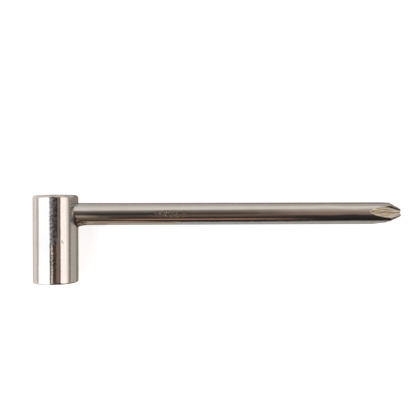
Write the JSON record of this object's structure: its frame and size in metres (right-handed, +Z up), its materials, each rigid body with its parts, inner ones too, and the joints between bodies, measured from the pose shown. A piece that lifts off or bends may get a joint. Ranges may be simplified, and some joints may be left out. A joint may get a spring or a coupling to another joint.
{
  "type": "truss rod wrench",
  "caption": "Small L-shaped hand tool: a blind hex socket for a truss rod nut, with a round shank brazed into its side that ends in a cross-point driver tip.",
  "frame": {"origin": "on the table that the wrench lies on, under the middle of its box", "axes": "+X along the shank to the driver tip, +Y along the socket's axis from its mouth to its closed crown, +Z up from the table"},
  "size_m": [0.0796, 0.0188, 0.0095],
  "materials": {
    "socket_nickel": "bright nickel plate on tumbled steel",
    "shank_nickel": "bright nickel plate on drawn steel",
    "braze_nickel": "nickel plate over brazing filler"
  },
  "bodies": {
    "root": {"socket": "socket_nickel", "driver_shank": "shank_nickel", "braze_fillet": "braze_nickel"}
  },
  "joints": []
}
